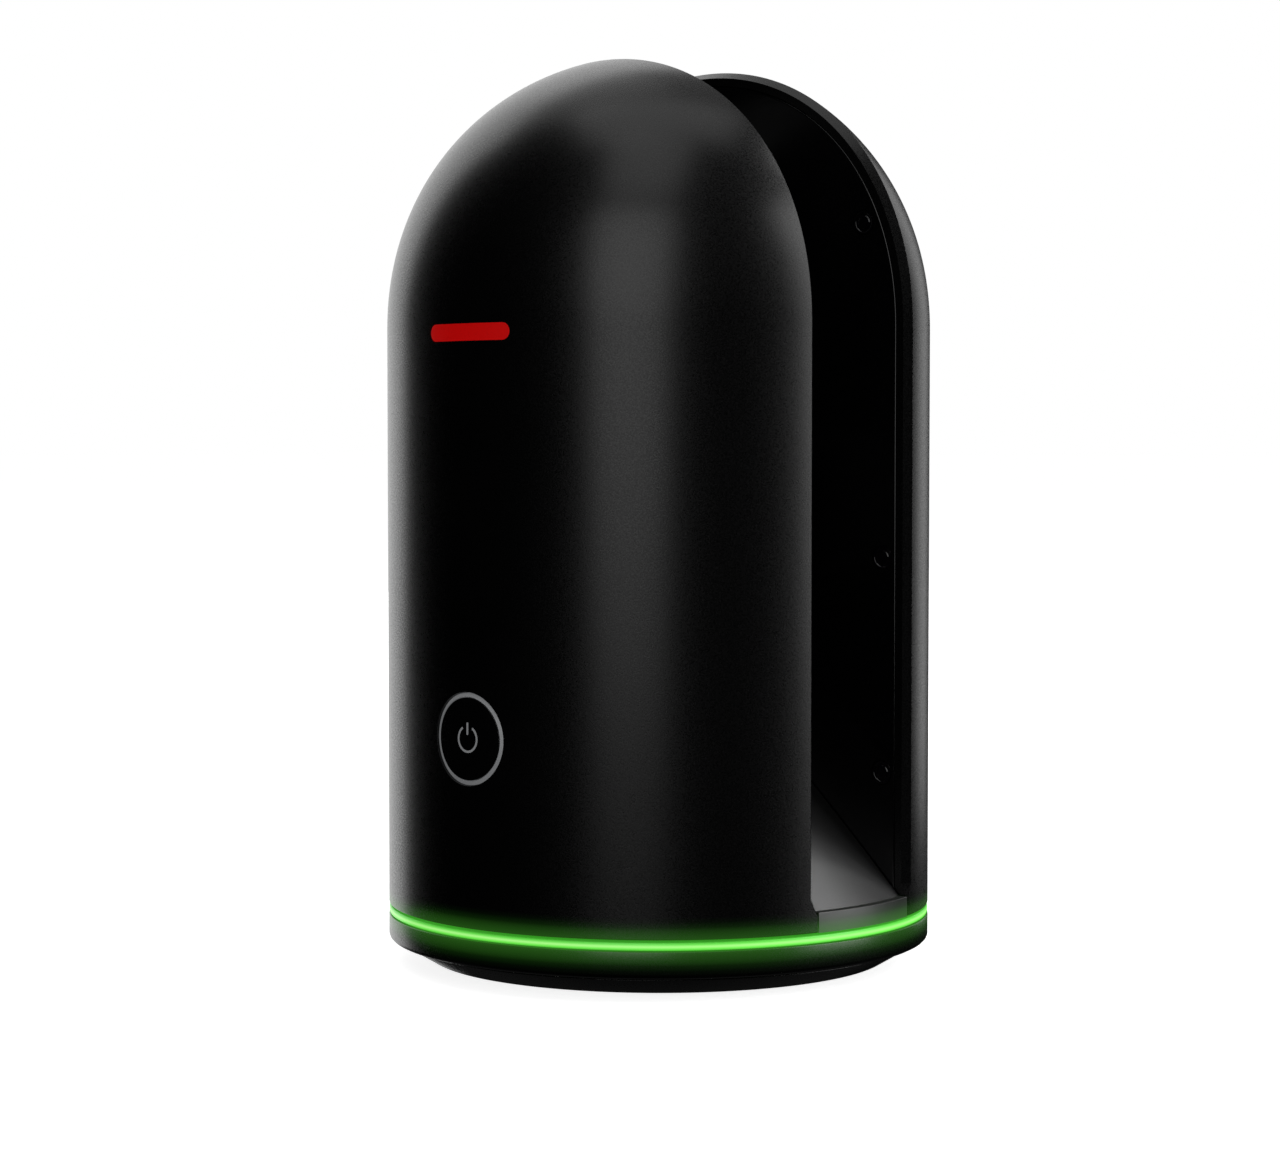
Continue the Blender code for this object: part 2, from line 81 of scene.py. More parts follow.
# The bevelled rim of each shell and the panel behind it
BEVEL_DEPTH = 1.45
BEVEL_INSET = 1.45
BEVEL_START_Z = 13.8
BEVEL_FULL_Z = 16.6
PANEL_INSET = 3.05
PANEL_THICK = 2.0
PANEL_EDGE = 0.32  # radius of the polished edge round a panel

# The battery door
DOOR_HALF_WIDTH = 21.6
DOOR_LOW_Z = 17.6
DOOR_HIGH_Z = 70.0
HINGE_Y = 48.0
HINGE_Z = 15.9
HINGE_GAP = 0.7
KNUCKLE_HALF = 8.0

# The plain accent bar on the front shell
ACCENT_Z = 114.6
ACCENT_HALF_WIDTH = 9.6
ACCENT_HALF_HEIGHT = 1.5

EDGE = 0.25  # rounding of small outer edges
FLAT_AREA = 60  # a face over this many square millimetres is one flat face
ROUND = 256  # segments of the large round pieces
SMALL_ROUND = 72
DOME_STEPS = 64
RIM_STEPS = 96

# The camera, which stands to the right of the front shell's middle
CAMERA_DISTANCE = 567.25
CAMERA_HEIGHT = 95.35
CAMERA_ANGLE = math.radians(48.287)
CAMERA_PITCH = math.radians(2.537)
CAMERA_YAW = math.radians(-0.345)
CAMERA_LENS = 86.03

SLOT_EDGE_X = math.sqrt(BODY_R**2 - SLOT_HALF**2)
DOME_RISE = (HEIGHT - DOME_BASE_Z) / (
    (1 - (SLOT_HALF / BODY_R) ** DOME_FULLNESS) ** (1 / DOME_FULLNESS)
)

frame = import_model()


# ---------------------------------------------------------------- mesh helpers


def as_object(name, bm):
    """Makes an object from a bmesh in millimetres, with edges over 30 degrees left sharp."""
    bmesh.ops.scale(bm, vec=(MM, MM, MM), verts=bm.verts)
    bmesh.ops.recalc_face_normals(bm, faces=bm.faces)
    mesh = bpy.data.meshes.new(name)
    bm.to_mesh(mesh)
    bm.free()
    made = bpy.data.objects.new(name, mesh)
    bpy.context.scene.collection.objects.link(made)
    smooth(made)
    return made


def smooth(made, angle=30):
    made.data.shade_smooth()
    made.data.set_sharp_from_angle(angle=math.radians(angle))


def turned(name, outline, at=(0, 0, 0), along="Z", segments=SMALL_ROUND):
    """Spins a closed outline of (radius, height) points about an axis through a point."""
    bm = bmesh.new()
    points = [bm.verts.new((radius, 0, height)) for radius, height in outline]
    edges = [bm.edges.new(pair) for pair in zip(points, points[1:] + points[:1])]
    bmesh.ops.spin(
        bm,
        geom=points + edges,
        axis=(0, 0, 1),
        angle=2 * math.pi,
        steps=segments,
        use_merge=True,
    )
    bmesh.ops.remove_doubles(bm, verts=bm.verts, dist=1e-4)
    turn = {
        "Z": Matrix.Identity(4),
        "Y": Matrix.Rotation(-math.pi / 2, 4, "X"),
        "X": Matrix.Rotation(math.pi / 2, 4, "Y"),
    }[along]
    bmesh.ops.transform(bm, matrix=Matrix.Translation(at) @ turn, verts=bm.verts)
    return as_object(name, bm)


def softened(corners, width=EDGE, steps=3):
    """Rounds the corners of a closed outline, leaving the ones marked as plain pairs sharp.

    A corner is (radius, height), or (radius, height, 1) to have it rounded.
    """
    points = []
    count = len(corners)
    for i, (a, b, *rounded) in enumerate(corners):
        here = Vector((a, b))
        if not rounded:
            points.append((a, b))
            continue
        before = (Vector(corners[i - 1][:2]) - here).normalized() * width
        after = (Vector(corners[(i + 1) % count][:2]) - here).normalized() * width
        for step in range(steps + 1):
            share = step / steps
            bend = before * (1 - share) ** 2 + after * share**2
            points.append(tuple(here + bend))
    return points


def ring(name, inner, outer, low, high, **where):
    outline = [(inner, low), (outer, low), (outer, high), (inner, high)]
    return turned(name, outline, **where)


def rod(name, radius, low, high, **where):
    return ring(name, 0, radius, low, high, **where)


def prism(name, outline, low, high, along="Z"):
    """Extrudes an outline along Z (points x, y), along Y (points x, z) or along X (y, z)."""
    corners = {
        "Z": lambda a, b: (a, b, low),
        "Y": lambda a, b: (a, low, b),
        "X": lambda a, b: (low, a, b),
    }[along]
    axis = Matrix.Identity(3)["XYZ".index(along)]
    bm = bmesh.new()
    face = bm.faces.new([bm.verts.new(corners(a, b)) for a, b in outline])
    grown = bmesh.ops.extrude_face_region(bm, geom=[face])["geom"]
    new_corners = [item for item in grown if isinstance(item, bmesh.types.BMVert)]
    bmesh.ops.translate(bm, vec=axis * (high - low), verts=new_corners)
    return as_object(name, bm)


def lofted(name, layers):
    """A closed piece through outlines of (x, z) points, each with its own y, in order."""
    bm = bmesh.new()
    rows = [[bm.verts.new((x, y, z)) for x, z in outline] for outline, y in layers]
    for first, second in zip(rows, rows[1:]):
        for i in range(len(first)):
            j = (i + 1) % len(first)
            bm.faces.new((first[i], first[j], second[j], second[i]))
    bm.faces.new(rows[0])
    bm.faces.new(rows[-1][::-1])
    return as_object(name, bm)


def block(name, low, high):
    outline = [(low[0], low[1]), (high[0], low[1]), (high[0], high[1]), (low[0], high[1])]
    return prism(name, outline, low[2], high[2])


def carve(made, *helpers, how="DIFFERENCE"):
    """Cuts the helpers from a piece, or joins them to it, and removes them."""
    for helper in helpers:
        modifier = made.modifiers.new("carve", "BOOLEAN")
        modifier.operation = how
        modifier.object = helper
    bpy.context.view_layer.update()
    graph = bpy.context.evaluated_depsgraph_get()
    carved = bpy.data.meshes.new_from_object(made.evaluated_get(graph))
    made.modifiers.clear()
    made.data = carved
    for helper in helpers:
        bpy.data.objects.remove(helper)
    smooth(made)
    return made


def rounded_box(half_width, low, high, radius, steps=10):
    """An upright rectangle about x = 0 with round corners, as (x, z) points."""
    corners = (
        (half_width - radius, high - radius, 0),
        (radius - half_width, high - radius, 90),
        (radius - half_width, low + radius, 180),
        (half_width - radius, low + radius, 270),
    )
    points = []
    for x, z, start in corners:
        for i in range(steps + 1):
            angle = math.radians(start + 90 * i / steps)
            points.append((x + radius * math.cos(angle), z + radius * math.sin(angle)))
    return points


# ------------------------------------------------------------- the domed body


def body_outline(inset, bottom, steps=DOME_STEPS, soft=0.0):
    """Half outline of the domed body, drawn in by inset, as (radius, height) points."""
    power = 2 / DOME_FULLNESS
    side = BODY_R - inset
    points = [(0, bottom), (side - soft, bottom)]
    if soft:
        points += [(side - 0.3 * soft, bottom + 0.3 * soft), (side, bottom + soft)]
    for i in range(steps):
        angle = math.pi / 2 * i / steps
        radius = side * math.cos(angle) ** power
        height = (DOME_RISE - inset) * math.sin(angle) ** power
        points.append((radius, DOME_BASE_Z + height))
    points.append((0, DOME_BASE_Z + DOME_RISE - inset))
    return points


def body_normal(point):
    """The outward direction at a point in metres that lies on the domed body, or None."""
    x, y, z = point / MM
    radius = math.hypot(x, y)
    if radius < 1e-6:
        return None
    height = max(0.0, z - DOME_BASE_Z)
    share = (radius / BODY_R) ** DOME_FULLNESS + (height / DOME_RISE) ** DOME_FULLNESS
    if abs(share - 1) > 0.004:
        return None
    across = (radius / BODY_R) ** (DOME_FULLNESS - 1) / BODY_R / radius
    up = (height / DOME_RISE) ** (DOME_FULLNESS - 1) / DOME_RISE
    return Vector((x * across, y * across, up)).normalized()


def shade_cleanly(made):
    """Sets normals that keep highlights clean up to the edges of a piece.

    Faces on the domed surface take that surface's own normals, and large flat faces theirs.
    """
    mesh = made.data
    normals = [corner.vector.copy() for corner in mesh.corner_normals]
    for face in mesh.polygons:
        flat = face.area > FLAT_AREA * MM**2
        for i in face.loop_indices:
            normal = body_normal(mesh.vertices[mesh.loops[i].vertex_index].co)
            if normal and normal.dot(face.normal) > 0.995:
                normals[i] = normal
            elif flat:
                normals[i] = face.normal.copy()
    mesh.normals_split_custom_set(normals)
    return made


def slot_edge(angle):
    """A point of the body's outline in the slot's plane, and the outline's normal there."""
    x = SLOT_EDGE_X * math.cos(angle)
    radius = math.hypot(x, SLOT_HALF)
    share = max(0.0, 1 - (radius / BODY_R) ** DOME_FULLNESS)
    height = DOME_RISE * share ** (1 / DOME_FULLNESS)
    across = (radius / BODY_R) ** (DOME_FULLNESS - 1) / BODY_R * x / radius
    up = (height / DOME_RISE) ** (DOME_FULLNESS - 1) / DOME_RISE
    length = math.hypot(across, up)
    return x, DOME_BASE_Z + height, across / length, up / length


def over_the_top(right_side):
    """Adds the mirrored left side to stations that run up the right side to x = 0."""
    left_side = [(-x, z, -nx, nz, *more) for x, z, nx, nz, *more in right_side[-2::-1]]
    return right_side + left_side


def dome_angles():
    return [math.pi / 2 * i / RIM_STEPS for i in range(RIM_STEPS + 1)]


def slot_outline(inset, bottom):
    """The body's outline in the slot's plane, drawn in by inset, as (x, z) points."""
    right_side = [(SLOT_EDGE_X, bottom, 1, 0)]
    right_side += [slot_edge(angle) for angle in dome_angles()]
    return [(x - inset * nx, z - inset * nz) for x, z, nx, nz in over_the_top(right_side)]


def rim_cutter(side):
    """The wedge that bevels a shell's rim, fading out at both lower ends."""
    right_side = [(SLOT_EDGE_X, BEVEL_START_Z, 1, 0, 0.05)]
    right_side += [(SLOT_EDGE_X, BEVEL_FULL_Z, 1, 0, 1)]
    right_side += [(*slot_edge(angle), 1) for angle in dome_angles()]
    outer_inset = SLOT_EDGE_X - math.sqrt(BODY_R**2 - (SLOT_HALF + BEVEL_DEPTH) ** 2)
    run = BEVEL_INSET - outer_inset
    section = (
        (BEVEL_INSET + 0.3 * run, -0.3 * BEVEL_DEPTH),
        (outer_inset - 0.6 * run, 1.6 * BEVEL_DEPTH),
        (-2.0, -0.3 * BEVEL_DEPTH),
    )
    bm = bmesh.new()
    rings = []
    for x, z, nx, nz, share in over_the_top(right_side):
        corners = []
        for inset, depth in section:
            inset, depth = inset * share, depth * share
            y = side * (SLOT_HALF + depth)
            corners.append(bm.verts.new((x - inset * nx, y, z - inset * nz)))
        rings.append(corners)
    for first, second in zip(rings, rings[1:]):
        for i in range(3):
            j = (i + 1) % 3
            bm.faces.new((first[i], first[j], second[j], second[i]))
    bm.faces.new(rings[0])
    bm.faces.new(rings[-1][::-1])
    return as_object("rim", bm)


def make_shell(name, side):
    """One half of the domed shell: hollow, with a bevelled rim and a seat for its panel."""
    shell = turned(name, body_outline(0, SHELL_BOTTOM_Z, soft=EDGE), segments=ROUND)
    near, far = sorted((side * SLOT_HALF, side * 2 * BODY_R))
    half = prism("half", rounded_box(2 * BODY_R, -10, 2 * HEIGHT, 1, 1), near, far, along="Y")
    carve(shell, half, how="INTERSECT")
    carve(shell, turned("hollow", body_outline(WALL, 0, 24), segments=128))
    near, far = sorted((side * (SLOT_HALF - 1), side * (SLOT_HALF + PANEL_THICK + 0.2)))
    seat = prism("seat", slot_outline(PANEL_INSET - 0.15, 5), near, far, along="Y")
    return carve(shell, rim_cutter(side), seat)


def wrapped(name, outline, inner, outer, side):
    """A flat outline of (x, z) points laid round the upright body, between two radii."""
    near, far = sorted((side * 30, side * 60))
    made = prism(name, outline, near, far, along="Y")
    return carve(made, ring("wrap", inner, outer, 0, 160, segments=ROUND), how="INTERSECT")


# ------------------------------------------------------------------- materials


class Finish:
    """A node material under construction, in object space."""

    def __init__(self, name, colour, roughness, metallic=0.0, **sockets):
        self.material = bpy.data.materials.new(name)
        self.material.use_nodes = True
        self.nodes = self.material.node_tree.nodes
        self.links = self.material.node_tree.links
        self.shader = self.nodes["Principled BSDF"]
        self.place = self.nodes.new("ShaderNodeTexCoord").outputs["Object"]
        self.set("Base Color", (*colour, 1))
        self.set("Roughness", roughness)
        self.set("Metallic", metallic)
        for socket, value in sockets.items():
            self.set(socket.replace("_", " "), value)

    def set(self, socket, value):
        self.shader.inputs[socket].default_value = value

    def stretched(self, scale):
        mapping = self.nodes.new("ShaderNodeMapping")
        mapping.inputs["Scale"].default_value = scale
        self.links.new(self.place, mapping.inputs["Vector"])
        return mapping.outputs["Vector"]

    def noise(self, size, detail=2.0, stretch=(1, 1, 1)):
        """Noise with features of about that size in millimetres."""
        node = self.nodes.new("ShaderNodeTexNoise")
        node.inputs["Scale"].default_value = 1 / (size * MM)
        node.inputs["Detail"].default_value = detail
        self.links.new(self.stretched(stretch), node.inputs["Vector"])
        return node.outputs["Fac"]

    def spread(self, value, low, high, start=0.3, stop=0.7):
        """Maps a value between start and stop to the range low to high."""
        node = self.nodes.new("ShaderNodeMapRange")
        node.inputs["From Min"].default_value = start
        node.inputs["From Max"].default_value = stop
        node.inputs["To Min"].default_value = low
        node.inputs["To Max"].default_value = high
        self.links.new(value, node.inputs["Value"])
        return node.outputs["Result"]

    def blend(self, value, first, second, start=0.3, stop=0.7):
        """Colours from first to second as the value goes from start to stop."""
        ramp = self.nodes.new("ShaderNodeValToRGB")
        ramp.color_ramp.elements[0].position = start
        ramp.color_ramp.elements[1].position = stop
        ramp.color_ramp.elements[0].color = (*first, 1)
        ramp.color_ramp.elements[1].color = (*second, 1)
        self.links.new(value, ramp.inputs["Fac"])
        return ramp.outputs["Color"]

    def colour_from(self, output):
        self.links.new(output, self.shader.inputs["Base Color"])

    def roughness_from(self, output):
        self.links.new(output, self.shader.inputs["Roughness"])

    def bump(self, value, depth, strength=1.0):
        """Raises the surface by depth millimetres where the value is 1."""
        node = self.nodes.new("ShaderNodeBump")
        node.inputs["Distance"].default_value = depth * MM
        node.inputs["Strength"].default_value = strength
        self.links.new(value, node.inputs["Height"])
        self.links.new(node.outputs["Normal"], self.shader.inputs["Normal"])

    def height(self):
        """The height above the floor, in metres."""
        split = self.nodes.new("ShaderNodeSeparateXYZ")
        self.links.new(self.place, split.inputs["Vector"])
        return split.outputs["Z"]


def anodised(name, dark, light, roughness, sheen=0.5, painted_spill=1.0):
    """Bead-blasted anodised metal: fine grain, slightly uneven sheen, and the light ring's green spill
    painted on as emission.
    """
    made = Finish(name, dark, roughness, Specular_IOR_Level=sheen)
    fine = made.noise(0.3, 3)
    broad = made.noise(26, 3)
    made.colour_from(made.blend(broad, dark, light))
    made.roughness_from(made.spread(fine, roughness - 0.05, roughness + 0.06))
    made.bump(fine, 0.016, 0.5)
    # Painted light: the light ring's green spill, as emission that fades with height away from the
    # ring.
    painted_ring_spill(made, painted_spill)
    return made.material


def painted_ring_spill(made, strength):
    """Paints the light ring's green spill as emission on the surfaces just above and below it."""
    middle = LIGHT_Z * MM
    ramp = made.nodes.new("ShaderNodeValToRGB")
    span = 7.0 * MM
    away = made.spread(made.height(), 0, 1, middle - span, middle + span)
    stops = ((0.0, 0), (0.14, 0), (0.2, 0.015), (0.264, 0.08), (0.3, 0.2), (0.336, 0.3))
    stops += ((0.4, 0.45), (0.464, 0.72), (0.5, 1))
    elements = ramp.color_ramp.elements
    elements[0].position, elements[1].position = 0.0, 1.0
    elements[0].color = elements[1].color = (0, 0, 0, 1)
    for position, level in stops[1:]:
        for mirrored in {position, 1 - position}:
            new = elements.new(mirrored)
            new.color = (0.030 * level, 0.15 * level, 0.014 * level, 1)
    made.links.new(away, ramp.inputs["Fac"])
    made.links.new(ramp.outputs["Color"], made.shader.inputs["Emission Color"])
    made.set("Emission Strength", strength)


def light_guide():
    """The glowing ring: pale in the middle of its height, deep green at its edges."""
    made = Finish("light_guide", (0.1, 0.6, 0.05), 0.35)
    half = LIGHT_THICK / 2 * MM
    across = made.spread(made.height(), 0, 1, LIGHT_Z * MM - half, LIGHT_Z * MM + half)
    ramp = made.nodes.new("ShaderNodeValToRGB")
    elements = ramp.color_ramp.elements
    elements[0].position, elements[1].position = 0.0, 1.0
    elements[0].color = (0.04, 0.34, 0.02, 1)
    elements[1].color = (0.03, 0.24, 0.015, 1)
    for position, colour in (
        (0.22, (0.14, 0.72, 0.07)),
        (0.5, (0.40, 0.86, 0.25)),
        (0.78, (0.12, 0.6, 0.07)),
    ):
        elements.new(position).color = (*colour, 1)
    made.links.new(across, ramp.inputs["Fac"])
    made.links.new(ramp.outputs["Color"], made.shader.inputs["Emission Color"])
    made.set("Emission Strength", 1.0)
    made.bump(made.noise(0.8), 0.004, 0.3)
    return made.material


def gloss_panel():
    """Deep black lacquered panel with faint wipe marks and dust."""
    made = Finish("gloss_panel", (0.001, 0.001, 0.001), 0.12)
    marks = made.noise(9, 4, (1, 1, 0.25))
    made.roughness_from(made.spread(marks, 0.10, 0.2))
    made.colour_from(made.blend(made.noise(0.5, 2), (0.0008, 0.0008, 0.001), (0.0022, 0.0022, 0.0025)))
    made.bump(made.noise(30), 0.01, 0.2)
    return made.material


def grey_with_painted_glow():
    """The translucent grey ring and symbol of the power button, with a faint painted glow."""
    made = Finish("button_light", (0.28, 0.285, 0.29), 0.4)
    grain = made.noise(0.6, 3)
    made.colour_from(made.blend(grain, (0.25, 0.255, 0.26), (0.31, 0.315, 0.32)))
    made.bump(grain, 0.004, 0.3)
    # Painted glow: faint grey emission that brightens the ring and symbol, with no lamp behind them.
    made.set("Emission Color", (0.09, 0.092, 0.095, 1))
    made.set("Emission Strength", 1.0)
    return made.material


def coated_glass():
    """Dark coated optical glass."""
    made = Finish("lens_glass", (0.002, 0.002, 0.003), 0.06, IOR=1.5)
    made.colour_from(made.blend(made.noise(14), (0.001, 0.001, 0.0016), (0.002, 0.0014, 0.0026)))
    made.roughness_from(made.spread(made.noise(3, 4), 0.03, 0.07))
    return made.material


def metal(name, dark, light, roughness, stretch=(1, 1, 1), size=0.5, depth=0.004):
    """Bare metal with fine machining marks, drawn out along an axis by the stretch."""
    made = Finish(name, light, roughness, 1.0)
    marks = made.noise(size, 3, stretch)
    made.colour_from(made.blend(made.noise(7, 4), dark, light))
    made.roughness_from(made.spread(marks, roughness - 0.06, roughness + 0.08))
    made.bump(marks, depth, 0.5)
    return made.material


def mirror_silver():
    made = Finish("mirror", (0.86, 0.87, 0.88), 0.03, 1.0)
    haze = made.noise(8, 4)
    made.colour_from(made.blend(haze, (0.82, 0.84, 0.87), (0.9, 0.9, 0.9)))
    made.roughness_from(made.spread(haze, 0.015, 0.05))
    return made.material


def moulded(name, dark, light, roughness, grain=0.4, depth=0.02):
    """Moulded plastic or rubber with a fine pebble grain."""
    made = Finish(name, dark, roughness)
    pebbles = made.nodes.new("ShaderNodeTexVoronoi")
    pebbles.inputs["Scale"].default_value = 1 / (grain * MM)
    made.links.new(made.place, pebbles.inputs["Vector"])
    made.colour_from(made.blend(made.noise(6, 4), dark, light))
    made.roughness_from(made.spread(made.noise(2, 3), roughness - 0.06, roughness + 0.06))
    made.bump(pebbles.outputs["Distance"], depth, 0.5)
    return made.material


def circuit_board():
    """Green solder mask with copper tracks that show through as a regular grid."""
    made = Finish("circuit_board", (0.005, 0.07, 0.03), 0.35, Coat_Weight=0.4)
    tracks = made.nodes.new("ShaderNodeTexBrick")
    tracks.inputs["Scale"].default_value = 120
    tracks.inputs["Mortar Size"].default_value = 0.03
    tracks.inputs["Color1"].default_value = (0.004, 0.055, 0.025, 1)
    tracks.inputs["Color2"].default_value = (0.006, 0.075, 0.033, 1)
    tracks.inputs["Mortar"].default_value = (0.05, 0.16, 0.05, 1)
    turned_up = made.nodes.new("ShaderNodeMapping")
    turned_up.inputs["Rotation"].default_value = (math.pi / 2, 0, 0)
    made.links.new(made.place, turned_up.inputs["Vector"])
    made.links.new(turned_up.outputs["Vector"], tracks.inputs["Vector"])
    made.colour_from(tracks.outputs["Color"])
    made.bump(tracks.outputs["Fac"], -0.03, 0.6)
    return made.material


def accent_paint():
    """Matt red paint with a little orange peel, and a faint painted red glow."""
    made = Finish("accent_paint", (0.8, 0.002, 0.002), 0.5)
    peel = made.noise(0.5, 3)
    made.colour_from(made.blend(peel, (0.74, 0.0015, 0.0015), (0.86, 0.003, 0.002)))
    # Painted glow: red emission that keeps the paint bright where little light falls on it.
    made.set("Emission Color", (0.2, 0.0005, 0.0005, 1))
    made.set("Emission Strength", 1.0)
    made.bump(peel, 0.004, 0.4)
    return made.material


def make_finishes():
    """One material for each material slot of the record, and one for the accent."""
    return {
        "shell_metal": anodised(
            "shell_metal", (0.0010, 0.0010, 0.0011), (0.0016, 0.0016, 0.0017), 0.28
        ),
        "base_metal": anodised(
            "base_metal", (0.0012, 0.0012, 0.0012), (0.002, 0.002, 0.002), 0.28
        ),
        # Its last number sets the strength of the painted ring spill, which is stronger on this paler
        # metal.
        "floor_metal": anodised(
            "floor_metal", (0.016, 0.016, 0.0162), (0.024, 0.024, 0.0242), 0.36, 0.9, 1.6
        ),
        "gloss_panel": gloss_panel(),
        "light_guide": light_guide(),
        "button_light": grey_with_painted_glow(),
        "lens_glass": coated_glass(),
        "mirror": mirror_silver(),
        "rubber": moulded("rubber", (0.010, 0.010, 0.010), (0.018, 0.018, 0.018), 0.75, 0.5, 0.05),
        "inner_metal": metal("inner_metal", (0.20, 0.20, 0.21), (0.26, 0.26, 0.27), 0.38),
        "steel": metal("steel", (0.50, 0.50, 0.51), (0.60, 0.60, 0.61), 0.28, (1, 1, 6)),
        "brass": metal("brass", (0.60, 0.42, 0.16), (0.72, 0.52, 0.24), 0.33),
        "inner_plastic": moulded("inner_plastic", (0.014, 0.014, 0.015), (0.022, 0.022, 0.023), 0.5),
        "circuit_board": circuit_board(),
        "battery": moulded("battery", (0.035, 0.037, 0.042), (0.05, 0.052, 0.058), 0.42, 0.3, 0.01),
        "accent": accent_paint(),
    }


def dress(made, slot):
    """Gives an object the material of a slot."""
    made.data.materials.clear()
    made.data.materials.append(FINISHES[slot])
    return made


def stand_for(made, node, slot):
    """Puts a detailed piece in the place of a CAD node, on the node's own body."""
    made.name = f"{node}_detail"
    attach(dress(made, slot), frame["nodes"][node]["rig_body"])
    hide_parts(node)
    return made


# ----------------------------------------------------------------- outer pieces


def make_base():
    """Housing, cover, light ring and foot pad, turned finely with soft edges."""
    housing = [(21, 7.0), (44.6, 7.0), (44.6, 3.9), (47.6, 3.9), (49.0, 4.0), (49.5, 4.25)]
    housing += [(49.85, 4.6), (BODY_R, 5.0), (BODY_R, 8.8, 1), (21, 8.8)]
    made = turned("housing", softened(housing, 0.2), segments=ROUND)
    stand_for(made, "base_housing", "base_metal")

    cover = [(9.3, 0.4, 1), (30, 0.4, 1), (30, 1.3), (38.4, 1.3), (38.4, 0.4, 1), (42.2, 0.4, 1)]
    cover += [(47.6, 3.6, 1), (44.0, 3.6), (42.0, 2.4), (9.3, 2.4)]
    made = turned("cover", softened(cover, 0.3), segments=ROUND)
    seat = [(0, -1), (2.7, -1), (2.4, 0.75), (2.4, 1.5), (1.3, 1.5), (1.3, 4), (0, 4)]
    for at in screw_places():
        carve(made, turned("seat", seat, at=at))
    stand_for(made, "base_cover", "base_metal")

    low, high = LIGHT_Z - LIGHT_THICK / 2, LIGHT_Z + LIGHT_THICK / 2
    light = [(46.0, low), (49.9, low, 1), (49.9, high, 1), (46.0, high)]
    made = turned("light", softened(light, 0.3, 4), segments=ROUND)
    stand_for(made, "light_ring", "light_guide")

    pad = [(30.3, 0, 1), (38.1, 0, 1), (38.1, 1.0), (30.3, 1.0)]
    made = turned("pad", softened(pad, 0.3), segments=ROUND)
    grooves = [
        ring("groove", radius - 0.25, radius + 0.25, -1, 0.35, segments=128)
        for radius in (31.9, 33.3, 34.7, 36.1)
    ]
    carve(made, *grooves)
    stand_for(made, "foot_pad", "rubber")


def screw_places():
    angles = [math.radians(90 + 120 * i) for i in range(3)]
    return [(24 * math.cos(angle), 24 * math.sin(angle), 0) for angle in angles]


def make_fasteners():
    """The cover's screws and the threaded tripod insert."""
    screw = [(0, 0.6), (2.1, 0.6, 1), (2.1, 1.2), (1.0, 1.2), (1.0, 6.4), (0, 6.4)]
    for i, at in enumerate(screw_places()):
        made = turned("screw", softened(screw, 0.2), at=at)
        carve(made, rod("drive", 0.9, 0, 1.0, at=at, segments=6))
        stand_for(made, f"base_screw_{i + 1}", "steel")

    threads = []
    height, pitch, turns = 0.55, 0.5, 5
    for i in range(turns):
        low = height + i * pitch
        threads += [(4.9, low), (5.15, low + pitch / 2)]
    insert = [(4.9, 3.1), (0, 3.1), (0, 3.9), (9.0, 3.9), (9.0, 0.4, 1), (5.2, 0.4, 1)]
    made = turned("insert", softened(insert, 0.25) + threads, segments=128)
    stand_for(made, "tripod_insert", "steel")


def make_slot_floor():
    """The ridge between the panels: a slice of a 45 degree cone, with a low lip at its foot."""
    foot, lip = 10.8, SLOT_LIP_Z
    top_r, cone_r, width = 4.5, 48.2, SLOT_HALF - GAP
    top_z = lip + cone_r - top_r
    outline = [(0, foot), (BODY_R, foot), (BODY_R, lip, 1), (cone_r, lip)]
    outline += [(top_r, top_z, 1), (0, top_z)]
    floor = turned("floor", softened(outline, 0.15), segments=ROUND)
    reach = BODY_R + 1
    sliced = block("slice", (-reach, -width, 0), (reach, width, HEIGHT))
    carve(floor, sliced, how="INTERSECT")
    carve(floor, rod("turntable_room", 46.9, 5, 13.9, segments=128))
    inner = [(0, 10), (45.4, 10), (45.4, 14), (3.4, 56), (0, 56)]
    hollow = turned("hollow", inner, segments=128)
    carve(hollow, block("slice", (-reach, -10.6, 0), (reach, 10.6, HEIGHT)), how="INTERSECT")
    carve(floor, hollow)
    stand_for(floor, "slot_floor", "floor_metal")


def make_front_shell():
    shell = make_shell("front", -1)
    at = (0, 0, BUTTON_Z)
    carve(shell, rod("hole", 8.2, -60, -40, at=at, along="Y", segments=128))
    stand_for(shade_cleanly(shell), "front_shell", "shell_metal")


def make_button():
    """The round power button in its pale ring, with the power symbol inlaid in the cap."""
    where = {"at": (0, -BODY_R, BUTTON_Z), "along": "Y", "segments": 128}
    light = turned("light", [(7.4, 0.08), (8.05, 0.42), (8.05, 3.7), (7.4, 3.7)], **where)
    stand_for(bent_to_body(light), "button_light_ring", "button_light")

    cap = [(0, 0.1), (7.25, 0.1, 1), (7.25, 4.1), (8.6, 4.1), (8.6, 5.1), (2, 5.1), (2, 6.4)]
    cap = softened(cap + [(0, 6.4)], 0.12)
    inner = [(radius, 0.1) for radius in (1.5, 3, 4.5, 6)]
    cap = turned("cap", cap[:1] + inner + cap[1:], **where)
    stand_for(bent_to_body(cap), "power_button", "shell_metal")

    symbol = [wrapped("symbol", outline, 49.5, 49.93, -1) for outline in symbol_outlines()]
    for made in symbol[1:]:
        carve(symbol[0], made, how="UNION")
    symbol[0].name = "power_symbol"
    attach(dress(symbol[0], "button_light"), "button")


def bent_to_body(made):
    """Moves each point of a flat-faced piece in, so that its face follows the round body."""
    for vertex in made.data.vertices:
        across = vertex.co.x / MM
        if vertex.co.y / MM < 2 - BODY_R:
            vertex.co.y += (BODY_R - math.sqrt(BODY_R**2 - across**2)) * MM
    smooth(made)
    return made


